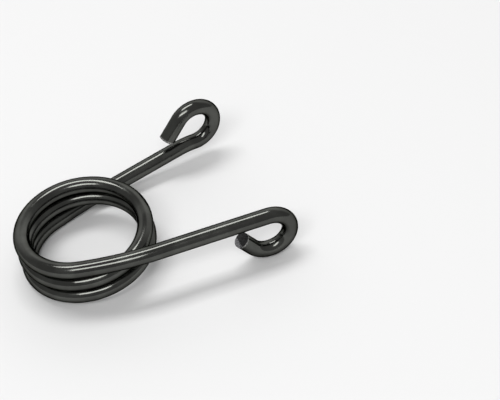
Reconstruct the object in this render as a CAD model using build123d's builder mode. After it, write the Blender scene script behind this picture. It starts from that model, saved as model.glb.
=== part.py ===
from build123d import *

import os
from math import atan, cos, degrees, pi, radians, sin

# A hairpin spring bent from one length of round wire: a short right-hand coil, two legs
# that leave it side by side, and an open eye curled on the end of each leg.
#
# The coil's axis is Z and the origin is the coil's centre. +X points from the coil
# towards the eyes, midway between the legs. Lengths are in millimetres, angles in degrees.

# Wire
wire_diameter = 8.0
end_edge_radius = 0.8

# Coil
coil_inside_diameter = 52.0
full_turns = 2
turn_gap = 0.8

# Legs: a gentle lead-out bend from the coil, then a straight run towards the eye.
# The opening and the lead-out turns are angles seen along the coil's axis, and the lean
# is each leg's slope towards the coil's middle plane.
leg_opening_angle = 10.5
leg_lean_angle = 3.5
upper_leg_straight_length = 55.0
lower_leg_straight_length = 48.0
lead_out_radius = 110.0
upper_lead_out_turn = 19.0
lower_lead_out_turn = 13.0

# The lower leg bends back a little just before its eye, away from the eye's curl
set_back_radius = 40.0
upper_set_back_turn = 0.0
lower_set_back_turn = 14.0

# Eyes: each curls across the coil's middle plane and stops short of its own leg
eye_inside_diameter = 14.0
upper_eye_wrap = 234.0
lower_eye_wrap = 236.0
upper_mouth_gap = 4.0
lower_mouth_gap = 2.5

wire_radius = wire_diameter / 2
coil_radius = (coil_inside_diameter + wire_diameter) / 2
eye_radius = (eye_inside_diameter + wire_diameter) / 2
coil_pitch = wire_diameter + turn_gap
coil_rise_angle = degrees(atan(coil_pitch / (2 * pi * coil_radius)))

# Headings in plan of the wire where it leaves the coil, outwards along each leg
upper_leg_heading = -leg_opening_angle / 2
lower_leg_heading = leg_opening_angle / 2
upper_outlet_heading = upper_leg_heading - upper_lead_out_turn
lower_outlet_heading = lower_leg_heading + lower_lead_out_turn

# The coil winds up and counterclockwise from the lower leg's outlet to the upper leg's
coil_start_angle = lower_outlet_heading + 90
coil_end_angle = upper_outlet_heading - 90 + 360 * (full_turns + 1)
coil_height = coil_pitch * (coil_end_angle - coil_start_angle) / 360


def heading(plan_angle, rise_angle):
    """Unit vector that points along a plan angle and climbs at a rise angle."""
    level = cos(radians(rise_angle))
    return Vector(
        level * cos(radians(plan_angle)),
        level * sin(radians(plan_angle)),
        sin(radians(rise_angle)),
    )


def tail_length(set_back_turn, eye_wrap, mouth_gap):
    """Straight wire past the eye's arc that leaves the mouth gap to the leg's straight run."""
    set_back = radians(set_back_turn)
    back_turn = radians(eye_wrap - set_back_turn)
    eye_centre_height = eye_radius * cos(set_back) - set_back_radius * (1 - cos(set_back))
    arc_end_height = eye_centre_height - eye_radius * cos(back_turn)
    end_face_reach = -wire_radius * cos(back_turn)
    drop = arc_end_height - end_face_reach - wire_radius - mouth_gap
    return drop / -sin(back_turn)


def leg_edges(
    outlet, outlet_heading, leg_heading, straight_length, curl, set_back_turn, eye_wrap, mouth_gap
):
    """Centreline of one leg, from the coil's end through the eye to the wire's end."""
    lead_out_plane = Plane(outlet, outlet_heading, outlet_heading.cross(leg_heading))
    with BuildLine(lead_out_plane) as lead_out:
        JernArc((0, 0), (1, 0), lead_out_radius, outlet_heading.get_angle(leg_heading))

    leg_plane = Plane(lead_out.line @ 1, leg_heading, leg_heading.cross(curl))
    with BuildLine(leg_plane) as leg:
        run = Line((0, 0), (straight_length, 0))
        if set_back_turn:
            run = JernArc(run @ 1, run % 1, set_back_radius, -set_back_turn)
        eye = JernArc(run @ 1, run % 1, eye_radius, eye_wrap)
        tail = tail_length(set_back_turn, eye_wrap, mouth_gap)
        Line(eye @ 1, eye @ 1 + (eye % 1) * tail)
    return lead_out.edges() + leg.edges()


# Centreline of the coil
with BuildLine() as coil_line:
    Helix(coil_pitch, coil_height, coil_radius, center=(0, 0, -coil_height / 2))
coil_edge = coil_line.edge().rotate(Axis.Z, coil_start_angle)

# Centreline of the legs: the upper one leans and curls down, the lower one up
upper_edges = leg_edges(
    coil_edge @ 1,
    heading(upper_outlet_heading, coil_rise_angle),
    heading(upper_leg_heading, -leg_lean_angle),
    upper_leg_straight_length,
    Vector(0, 0, -1),
    upper_set_back_turn,
    upper_eye_wrap,
    upper_mouth_gap,
)
lower_edges = leg_edges(
    coil_edge @ 0,
    heading(lower_outlet_heading, -coil_rise_angle),
    heading(lower_leg_heading, leg_lean_angle),
    lower_leg_straight_length,
    Vector(0, 0, 1),
    lower_set_back_turn,
    lower_eye_wrap,
    lower_mouth_gap,
)
wire_path = Wire([coil_edge, *upper_edges, *lower_edges])

# The whole spring is one round section carried along that centreline
with BuildPart() as spring_wire:
    with BuildSketch(Plane(wire_path @ 0, z_dir=wire_path % 0)):
        Circle(wire_radius)
    sweep(path=wire_path)
    wire_ends = spring_wire.faces().filter_by(GeomType.PLANE)
    fillet(wire_ends.edges(), end_edge_radius)

spring_wire.part.label = "spring_wire"

os.makedirs("parts", exist_ok=True)
export_step(spring_wire.part, "parts/spring_wire.step")
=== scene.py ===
"""A gloss black hairpin spring lying on a pale floor under soft studio light."""

from math import atan, cos, degrees, pi, radians, sin

import bpy
from mathutils import Matrix, Vector


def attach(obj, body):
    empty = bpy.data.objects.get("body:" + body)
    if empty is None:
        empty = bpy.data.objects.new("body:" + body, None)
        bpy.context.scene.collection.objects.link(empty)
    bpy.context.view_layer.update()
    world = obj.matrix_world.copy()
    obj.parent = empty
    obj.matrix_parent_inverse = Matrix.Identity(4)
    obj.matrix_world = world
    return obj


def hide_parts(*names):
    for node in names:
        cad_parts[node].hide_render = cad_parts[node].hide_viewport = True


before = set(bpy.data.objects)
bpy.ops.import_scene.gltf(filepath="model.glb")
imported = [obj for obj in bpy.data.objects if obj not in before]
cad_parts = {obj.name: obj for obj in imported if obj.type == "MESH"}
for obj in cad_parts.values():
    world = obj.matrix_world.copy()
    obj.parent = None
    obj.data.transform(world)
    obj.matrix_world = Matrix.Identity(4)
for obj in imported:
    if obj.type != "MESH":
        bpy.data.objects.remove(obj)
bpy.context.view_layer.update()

# Spring, in metres and degrees
MM = 0.001
WIRE_RADIUS = 4.0 * MM
END_EDGE_RADIUS = 0.8 * MM
COIL_RADIUS = 30.0 * MM
COIL_PITCH = 8.8 * MM
FULL_TURNS = 2
LEG_OPENING_ANGLE = 10.5
LEG_LEAN_ANGLE = 3.5
UPPER_LEG_STRAIGHT_LENGTH = 55.0 * MM
LOWER_LEG_STRAIGHT_LENGTH = 48.0 * MM
LEAD_OUT_RADIUS = 110.0 * MM
UPPER_LEAD_OUT_TURN = 19.0
LOWER_LEAD_OUT_TURN = 13.0
SET_BACK_RADIUS = 40.0 * MM
UPPER_SET_BACK_TURN = 0.0
LOWER_SET_BACK_TURN = 14.0
EYE_RADIUS = 11.0 * MM
UPPER_EYE_WRAP = 234.0
LOWER_EYE_WRAP = 236.0
UPPER_MOUTH_GAP = 4.0 * MM
LOWER_MOUTH_GAP = 2.5 * MM

# Mesh of the wire
RING_SPACING = 0.7 * MM
POINTS_AROUND = 64
ROUNDING_STEPS = 5

# Coat
COAT_DARK = (0.071, 0.072, 0.067, 1.0)
COAT_PALE = (0.092, 0.094, 0.087, 1.0)
COAT_EDGE_TINT = (0.2, 0.2, 0.2, 1.0)
COAT_ROUGHNESS = 0.15
COAT_ROUGHNESS_VARIATION = 0.05
CLOUD_SIZE = 9.0 * MM
PEEL_SIZE = 1.8 * MM
PEEL_DEPTH = 0.008 * MM
DRAW_MARK_WIDTH = 0.35 * MM
DRAW_MARK_STRETCH = 60.0
DRAW_MARK_DEPTH = 0.0012 * MM

# Cut ends: each zone comes in or fades out between two distances from the wire's end, and
# the burnished side of the face between two shares of the wire's radius
BROKEN_DARK = (0.02, 0.02, 0.02, 1.0)
BROKEN_PALE = (0.1, 0.1, 0.1, 1.0)
BROKEN_ROUGHNESS = 0.55
BURNISHED_DARK = (0.14, 0.14, 0.145, 1.0)
BURNISHED_PALE = (0.36, 0.36, 0.37, 1.0)
BURNISHED_ROUGHNESS = 0.3
BARE_STEEL = (0.45, 0.45, 0.44, 1.0)
SHEAR_GRAIN_SIZE = 0.5 * MM
SHEAR_DEPTH = 0.05 * MM
FACE_FADE = (0.4 * MM, 0.05 * MM)
RIM_START = (0.02 * MM, 0.2 * MM)
RIM_FADE = (1.3 * MM, 0.5 * MM)
BURNISHED_START = (0.8, 1.0)

# Camera, round the object's own axes: its azimuth turns from straight in front, on the -Y side
VIEW_AZIMUTH = -18.30
VIEW_ELEVATION = 46.06
VIEW_ROLL = -10.72
VIEW_AIM = Vector((78.34, -23.66, 2.09)) * MM
VIEW_DISTANCE = 702.3 * MM
LENS_LENGTH = 103.9
SENSOR_WIDTH = 36.0
NEAREST_SEEN = 0.01
FARTHEST_SEEN = 20.0

# Floor: the plane that the spring rests on, under the upper eye and the coil
FLOOR_POINT = Vector((77.8, -41.8, -19.15)) * MM
FLOOR_NORMAL = Vector((0.0555, 0.0036, 0.9984)).normalized()
FLOOR_HALF_SIZE = 2.0
FLOOR_COLOUR = (0.77, 0.77, 0.77, 1.0)
FLOOR_ROUGHNESS = 0.9

# Soft boxes: the plan angle and elevation that each shines from, its width and height, and
# how bright its face is
LAMP_DISTANCE = 2.4
FRONT_LAMP = {"azimuth": -119.0, "elevation": 54.0, "width": 1.6, "height": 0.64, "radiance": 7.6}
BACK_LAMP = {"azimuth": 84.0, "elevation": 73.0, "width": 1.72, "height": 0.64, "radiance": 8.2}

# Sky: even all round, and brighter low down at the back. The extra comes in between two
# cosines of the angle to the back, and fades between two sines of the elevation.
SKY_STRENGTH = 0.37
BACK_EXTRA_STRENGTH = 0.85
BACK_AZIMUTH = 65.0
BACK_START = (0.2, 0.9)
BACK_FADE = (0.6, 0.8)


# Centreline of the wire
def heading(plan_angle, rise_angle):
    """Unit vector that points along a plan angle and climbs at a rise angle."""
    level = cos(radians(rise_angle))
    return Vector((
        level * cos(radians(plan_angle)),
        level * sin(radians(plan_angle)),
        sin(radians(rise_angle)),
    ))


def step_count(length):
    """How many steps of about the rings' spacing divide a length."""
    return max(2, round(length / RING_SPACING))


def arc_points(start, along, toward, radius, angle):
    """Points of an arc that leaves along a heading and bends toward a side, and where it heads."""
    side = (toward - along * along.dot(toward)).normalized()
    centre = start + side * radius
    count = step_count(radius * angle)
    points = []
    for index in range(1, count + 1):
        turn = angle * index / count
        points.append(centre - side * radius * cos(turn) + along * radius * sin(turn))
    return points, along * cos(angle) + side * sin(angle)


def straight_points(start, along, length):
    """Points of a straight run, without its start."""
    count = step_count(length)
    return [start + along * length * index / count for index in range(1, count + 1)]


def tail_length(set_back_turn, eye_wrap, mouth_gap):
    """Straight wire past the eye's arc that leaves the mouth gap to the leg's straight run."""
    set_back = radians(set_back_turn)
    back_turn = radians(eye_wrap - set_back_turn)
    eye_centre_height = EYE_RADIUS * cos(set_back) - SET_BACK_RADIUS * (1 - cos(set_back))
    arc_end_height = eye_centre_height - EYE_RADIUS * cos(back_turn)
    end_face_reach = -WIRE_RADIUS * cos(back_turn)
    drop = arc_end_height - end_face_reach - WIRE_RADIUS - mouth_gap
    return drop / -sin(back_turn)


def tail_points(start, along, length):
    """A straight run whose last points crowd together for the rounded edge at the wire's end."""
    points = straight_points(start, along, length - END_EDGE_RADIUS)
    edge_start = points[-1]
    for index in range(1, ROUNDING_STEPS + 1):
        points.append(edge_start + along * END_EDGE_RADIUS * sin(pi / 2 * index / ROUNDING_STEPS))
    return points


def leg_points(outlet, outlet_heading, leg_heading, straight, curl, set_back_turn, eye_wrap, gap):
    """One leg's centreline, from the coil's end through the eye to the wire's end."""
    bend_angle = outlet_heading.angle(leg_heading)
    points, along = arc_points(outlet, outlet_heading, leg_heading, LEAD_OUT_RADIUS, bend_angle)
    points += straight_points(points[-1], along, straight)
    if set_back_turn:
        turn = radians(set_back_turn)
        set_back, along = arc_points(points[-1], along, -curl, SET_BACK_RADIUS, turn)
        points += set_back
    eye, along = arc_points(points[-1], along, curl, EYE_RADIUS, radians(eye_wrap))
    points += eye
    return points + tail_points(points[-1], along, tail_length(set_back_turn, eye_wrap, gap))


def centreline_points():
    """The whole wire, from the upper leg's end through the coil to the lower leg's end."""
    coil_rise = degrees(atan(COIL_PITCH / (2 * pi * COIL_RADIUS)))
    upper_outlet = -LEG_OPENING_ANGLE / 2 - UPPER_LEAD_OUT_TURN
    lower_outlet = LEG_OPENING_ANGLE / 2 + LOWER_LEAD_OUT_TURN
    coil_start = radians(lower_outlet + 90)
    coil_end = radians(upper_outlet - 90 + 360 * (FULL_TURNS + 1))
    coil_height = COIL_PITCH * (coil_end - coil_start) / (2 * pi)

    count = step_count(COIL_RADIUS * (coil_end - coil_start))
    coil = []
    for index in range(count + 1):
        share = index / count
        turn = coil_end + (coil_start - coil_end) * share
        coil.append(Vector((
            COIL_RADIUS * cos(turn),
            COIL_RADIUS * sin(turn),
            coil_height * (0.5 - share),
        )))
    upper = leg_points(
        coil[0],
        heading(upper_outlet, coil_rise),
        heading(-LEG_OPENING_ANGLE / 2, -LEG_LEAN_ANGLE),
        UPPER_LEG_STRAIGHT_LENGTH,
        Vector((0, 0, -1)),
        UPPER_SET_BACK_TURN,
        UPPER_EYE_WRAP,
        UPPER_MOUTH_GAP,
    )
    lower = leg_points(
        coil[-1],
        heading(lower_outlet, -coil_rise),
        heading(LEG_OPENING_ANGLE / 2, LEG_LEAN_ANGLE),
        LOWER_LEG_STRAIGHT_LENGTH,
        Vector((0, 0, 1)),
        LOWER_SET_BACK_TURN,
        LOWER_EYE_WRAP,
        LOWER_MOUTH_GAP,
    )
    return upper[::-1] + coil + lower


def line_length(points):
    return sum((after - before).length for before, after in zip(points, points[1:]))


def centreline_curve(points):
    """A curve object through the points, which the node tree draws the wire along."""
    curve = bpy.data.curves.new("wire_centreline", "CURVE")
    curve.dimensions = "3D"
    spline = curve.splines.new("POLY")
    spline.points.add(len(points) - 1)
    for spline_point, place in zip(spline.points, points):
        spline_point.co = (*place, 1.0)
    centreline = bpy.data.objects.new("wire_centreline", curve)
    bpy.context.collection.objects.link(centreline)
    return centreline


# Node trees
class Tree:
    """A node tree under construction, with short calls to add and link its nodes."""

    def __init__(self, tree):
        self.tree = tree

    def add(self, kind, inputs=None, **settings):
        """A new node with its settings, and its inputs linked or set."""
        node = self.tree.nodes.new(kind)
        for name, value in settings.items():
            setattr(node, name, value)
        for key, value in (inputs or {}).items():
            self.feed(node.inputs[key], value)
        return node

    def feed(self, socket, value):
        """Links another node's output to a socket, or sets the socket's own value."""
        if isinstance(value, bpy.types.NodeSocket):
            self.tree.links.new(value, socket)
        else:
            socket.default_value = value

    def math(self, operation, first, second=0.0):
        node = self.add("ShaderNodeMath", {0: first, 1: second}, operation=operation)
        return node.outputs[0]

    def ramp(self, value, start, end, low=0.0, high=1.0):
        """A value that runs from low at start to high at end, and stays there."""
        limits = {"Value": value, "From Min": start, "From Max": end, "To Min": low, "To Max": high}
        node = self.add("ShaderNodeMapRange", limits, interpolation_type="SMOOTHSTEP")
        return node.outputs["Result"]

    def noise(self, place, grain, detail=2.0, stretch=1.0):
        """Noise with grains of a size in metres, stretched along the wire."""
        scaled = self.add(
            "ShaderNodeVectorMath",
            {0: place, 1: (1.0, 1.0, 1.0 / stretch)},
            operation="MULTIPLY",
        )
        node = self.add("ShaderNodeTexNoise", {
            "Vector": scaled.outputs[0],
            "Scale": 1.0 / grain,
            "Detail": detail,
        })
        return node.outputs["Fac"]

    def blend(self, share, first, second):
        """A colour between two colours."""
        node = self.add("ShaderNodeMix", {0: share, 6: first, 7: second}, data_type="RGBA")
        return node.outputs[2]


# Wire
def wire_tree():
    """Geometry nodes that draw the round wire along its centreline."""
    group = bpy.data.node_groups.new("round_wire", "GeometryNodeTree")
    group.interface.new_socket(name="Centreline", in_out="INPUT", socket_type="NodeSocketGeometry")
    for name in ("Wire Radius", "Edge Radius"):
        group.interface.new_socket(name=name, in_out="INPUT", socket_type="NodeSocketFloat")
    group.interface.new_socket(name="Points Around", in_out="INPUT", socket_type="NodeSocketInt")
    group.interface.new_socket(name="Coat", in_out="INPUT", socket_type="NodeSocketMaterial")
    group.interface.new_socket(name="Wire", in_out="OUTPUT", socket_type="NodeSocketGeometry")
    tree = Tree(group)
    sizes = tree.add("NodeGroupInput").outputs

    # Radius along the wire: full, and falling in a quarter circle over the edge of each end
    along = tree.add("GeometryNodeSplineParameter").outputs["Length"]
    whole = tree.add("GeometryNodeSplineLength").outputs["Length"]
    to_end = tree.math("MINIMUM", along, tree.math("SUBTRACT", whole, along))
    depth = tree.math("MINIMUM", tree.math("DIVIDE", to_end, sizes["Edge Radius"]), 1.0)
    inward = tree.math("SUBTRACT", 1.0, depth)
    under_root = tree.math("SUBTRACT", 1.0, tree.math("MULTIPLY", inward, inward))
    lost = tree.math("SUBTRACT", 1.0, tree.math("SQRT", tree.math("MAXIMUM", under_root, 0.0)))
    edge_share = tree.math("DIVIDE", sizes["Edge Radius"], sizes["Wire Radius"])
    radius = tree.math("SUBTRACT", 1.0, tree.math("MULTIPLY", lost, edge_share))
    wire_line = tree.add("GeometryNodeSetCurveRadius", {
        "Curve": sizes["Centreline"],
        "Radius": radius,
    })

    # Round section, and each surface point's place on the straightened wire
    section = tree.add(
        "GeometryNodeCurvePrimitiveCircle",
        {"Resolution": sizes["Points Around"], "Radius": sizes["Wire Radius"]},
    )
    on_section = tree.add("GeometryNodeCaptureAttribute", {"Geometry": section.outputs["Curve"]})
    on_section.capture_items.new("VECTOR", "Section Place")
    tree.feed(on_section.inputs["Section Place"], tree.add("GeometryNodeInputPosition").outputs[0])
    on_line = tree.add("GeometryNodeCaptureAttribute", {"Geometry": wire_line.outputs["Curve"]})
    on_line.capture_items.new("FLOAT", "Length Along")
    tree.feed(on_line.inputs["Length Along"], along)
    tube = tree.add("GeometryNodeCurveToMesh", {
        "Curve": on_line.outputs["Geometry"],
        "Profile Curve": on_section.outputs["Geometry"],
        "Fill Caps": True,
    })
    place = tree.add("ShaderNodeSeparateXYZ", {0: on_section.outputs["Section Place"]}).outputs
    straightened = tree.add("ShaderNodeCombineXYZ", {
        "X": place["X"],
        "Y": place["Y"],
        "Z": on_line.outputs["Length Along"],
    })
    stored = tree.add("GeometryNodeStoreNamedAttribute", data_type="FLOAT_VECTOR", domain="POINT")
    tree.feed(stored.inputs["Geometry"], tube.outputs["Mesh"])
    tree.feed(stored.inputs["Name"], "straightened")
    tree.feed(stored.inputs["Value"], straightened.outputs[0])

    real = tree.add("GeometryNodeRealizeInstances", {"Geometry": stored.outputs["Geometry"]})
    coated = tree.add("GeometryNodeSetMaterial", {
        "Geometry": real.outputs["Geometry"],
        "Material": sizes["Coat"],
    })
    tree.add("NodeGroupOutput", {"Wire": coated.outputs["Geometry"]})
    return group


def set_input(modifier, name, value):
    """Sets a modifier's input by its socket's identifier."""
    for item in modifier.node_group.interface.items_tree:
        if item.item_type == "SOCKET" and item.in_out == "INPUT" and item.name == name:
            modifier[item.identifier] = value


def hairpin_wire(points, coat):
    """The spring as one plain mesh."""
    centreline = centreline_curve(points)
    modifier = centreline.modifiers.new("round_wire", "NODES")
    modifier.node_group = wire_tree()
    set_input(modifier, "Wire Radius", WIRE_RADIUS)
    set_input(modifier, "Edge Radius", END_EDGE_RADIUS)
    set_input(modifier, "Points Around", POINTS_AROUND)
    set_input(modifier, "Coat", coat)

    evaluated = centreline.evaluated_get(bpy.context.evaluated_depsgraph_get())
    mesh = bpy.data.meshes.new_from_object(evaluated)
    mesh.name = "hairpin_wire"
    mesh.shade_smooth()
    bpy.data.objects.remove(centreline)
    wire = bpy.data.objects.new("hairpin_wire", mesh)
    bpy.context.collection.objects.link(wire)
    return wire


# Finishes
def gloss_black_coat(wire_length):
    """Gloss near-black coat on drawn steel wire, with bare sheared faces and worn rims."""
    material = bpy.data.materials.new("gloss_black_coat")
    material.use_nodes = True
    tree = Tree(material.node_tree)
    surface = material.node_tree.nodes["Principled BSDF"]
    place = tree.add("ShaderNodeAttribute", attribute_name="straightened").outputs["Vector"]
    spot = tree.add("ShaderNodeSeparateXYZ", {0: place}).outputs
    along = spot["Z"]
    to_end = tree.math("MINIMUM", along, tree.math("SUBTRACT", wire_length, along))

    # Noise about 0.5: cloudy thickness of the coat, its orange peel, draw marks along the
    # wire, and the grain of the sheared steel
    cloud = tree.noise(place, CLOUD_SIZE, detail=3.0)
    peel = tree.noise(place, PEEL_SIZE)
    draw_marks = tree.noise(place, DRAW_MARK_WIDTH, stretch=DRAW_MARK_STRETCH)
    shear_grain = tree.noise(place, SHEAR_GRAIN_SIZE, detail=4.0)

    # Cut ends: a sheared face, burnished on one side and broken on the other, and its rim,
    # where the coat is worn through in places
    face = tree.ramp(to_end, *FACE_FADE)
    rim_zone = tree.math("MULTIPLY", tree.ramp(to_end, *RIM_START), tree.ramp(to_end, *RIM_FADE))
    rim = tree.math("MULTIPLY", rim_zone, tree.ramp(shear_grain, 0.44, 0.56))
    side = tree.math("ADD", tree.math("DIVIDE", spot["Y"], WIRE_RADIUS), shear_grain)
    burnished = tree.ramp(side, *BURNISHED_START)

    coat_colour = tree.blend(tree.ramp(cloud, 0.35, 0.65), COAT_DARK, COAT_PALE)
    broken_colour = tree.blend(tree.ramp(shear_grain, 0.35, 0.7), BROKEN_DARK, BROKEN_PALE)
    burnished_colour = tree.blend(tree.ramp(shear_grain, 0.4, 0.6), BURNISHED_DARK, BURNISHED_PALE)
    face_colour = tree.blend(burnished, broken_colour, burnished_colour)
    colour = tree.blend(face, coat_colour, face_colour)
    tree.feed(surface.inputs["Base Color"], tree.blend(rim, colour, BARE_STEEL))

    smoothest = COAT_ROUGHNESS - COAT_ROUGHNESS_VARIATION
    dullest = COAT_ROUGHNESS + COAT_ROUGHNESS_VARIATION
    roughness = tree.ramp(cloud, 0.3, 0.7, smoothest, dullest)
    worn = tree.math("MAXIMUM", face, rim)
    bare_roughness = tree.ramp(burnished, 0.0, 1.0, BROKEN_ROUGHNESS, BURNISHED_ROUGHNESS)
    worn_roughness = tree.math("MULTIPLY", worn, bare_roughness)
    tree.feed(surface.inputs["Roughness"], tree.math("MAXIMUM", roughness, worn_roughness))
    surface.inputs["Metallic"].default_value = 1.0
    surface.inputs["Specular Tint"].default_value = COAT_EDGE_TINT

    # Relief, in metres
    relief = tree.math("MULTIPLY", peel, PEEL_DEPTH)
    relief = tree.math("ADD", relief, tree.math("MULTIPLY", draw_marks, DRAW_MARK_DEPTH))
    shear_relief = tree.math("MULTIPLY", tree.math("MULTIPLY", shear_grain, face), SHEAR_DEPTH)
    relief = tree.math("ADD", relief, shear_relief)
    bump = tree.add("ShaderNodeBump", {"Strength": 1.0, "Distance": 1.0, "Height": relief})
    tree.feed(surface.inputs["Normal"], bump.outputs["Normal"])
    return material


def pale_floor_finish():
    material = bpy.data.materials.new("pale_floor")
    material.use_nodes = True
    surface = material.node_tree.nodes["Principled BSDF"]
    surface.inputs["Base Color"].default_value = FLOOR_COLOUR
    surface.inputs["Roughness"].default_value = FLOOR_ROUGHNESS
    surface.inputs["Specular IOR Level"].default_value = 0.0
    return material


# Stage
def floor():
    across = FLOOR_NORMAL.orthogonal().normalized()
    deep = FLOOR_NORMAL.cross(across)
    corners = []
    for across_side, deep_side in ((-1, -1), (1, -1), (1, 1), (-1, 1)):
        outward = across * across_side + deep * deep_side
        corners.append(FLOOR_POINT + outward * FLOOR_HALF_SIZE)
    mesh = bpy.data.meshes.new("pale_floor")
    mesh.from_pydata(corners, [], [(0, 1, 2, 3)])
    mesh.materials.append(pale_floor_finish())
    plane = bpy.data.objects.new("pale_floor", mesh)
    bpy.context.collection.objects.link(plane)


def soft_box(name, azimuth, elevation, width, height, radiance):
    """A rectangular lamp that faces the spring from a plan angle and an elevation."""
    outward = heading(azimuth, elevation)
    lamp = bpy.data.lights.new(name, "AREA")
    lamp.shape = "RECTANGLE"
    lamp.size = width
    lamp.size_y = height
    lamp.energy = radiance * pi * width * height
    holder = bpy.data.objects.new(name, lamp)
    holder.location = outward * LAMP_DISTANCE
    holder.rotation_euler = outward.to_track_quat("Z", "Y").to_euler()
    bpy.context.collection.objects.link(holder)


def sky():
    world = bpy.data.worlds.new("studio")
    bpy.context.scene.world = world
    world.use_nodes = True
    background = world.node_tree.nodes["Background"]
    background.inputs["Color"].default_value = (1.0, 1.0, 1.0, 1.0)

    # Height is the sine of the elevation, and facing is the cosine to the back's direction
    tree = Tree(world.node_tree)
    direction = tree.add("ShaderNodeTexCoord").outputs["Generated"]
    height = tree.add("ShaderNodeSeparateXYZ", {0: direction}).outputs["Z"]
    back = heading(BACK_AZIMUTH, 0.0)
    facing = tree.add("ShaderNodeVectorMath", {0: direction, 1: back}, operation="DOT_PRODUCT")
    back_share = tree.ramp(facing.outputs["Value"], *BACK_START, 0.0, BACK_EXTRA_STRENGTH)
    back_extra = tree.math("MULTIPLY", back_share, tree.ramp(height, *BACK_FADE, 1.0, 0.0))
    tree.feed(background.inputs["Strength"], tree.math("ADD", SKY_STRENGTH, back_extra))


def camera():
    azimuth, elevation, roll = map(radians, (VIEW_AZIMUTH, VIEW_ELEVATION, VIEW_ROLL))
    back = Vector((sin(azimuth) * cos(elevation), -cos(azimuth) * cos(elevation), sin(elevation)))
    level = Vector((cos(azimuth), sin(azimuth), 0.0))
    upright = back.cross(level)
    right = level * cos(roll) + upright * sin(roll)
    up = upright * cos(roll) - level * sin(roll)
    data = bpy.data.cameras.new("camera")
    data.lens = LENS_LENGTH
    data.sensor_width = SENSOR_WIDTH
    data.clip_start = NEAREST_SEEN
    data.clip_end = FARTHEST_SEEN
    holder = bpy.data.objects.new("camera", data)
    holder.matrix_world = Matrix.Translation(VIEW_AIM + back * VIEW_DISTANCE) @ Matrix((
        (right.x, up.x, back.x, 0.0),
        (right.y, up.y, back.y, 0.0),
        (right.z, up.z, back.z, 0.0),
        (0.0, 0.0, 0.0, 1.0),
    ))
    bpy.context.collection.objects.link(holder)
    bpy.context.scene.camera = holder


points = centreline_points()
coat = gloss_black_coat(line_length(points))
wire = hairpin_wire(points, coat)
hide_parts("spring_wire")
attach(wire, "root")

floor()
soft_box("front_lamp", **FRONT_LAMP)
soft_box("back_lamp", **BACK_LAMP)
sky()
camera()
bpy.context.scene.view_settings.view_transform = "Standard"
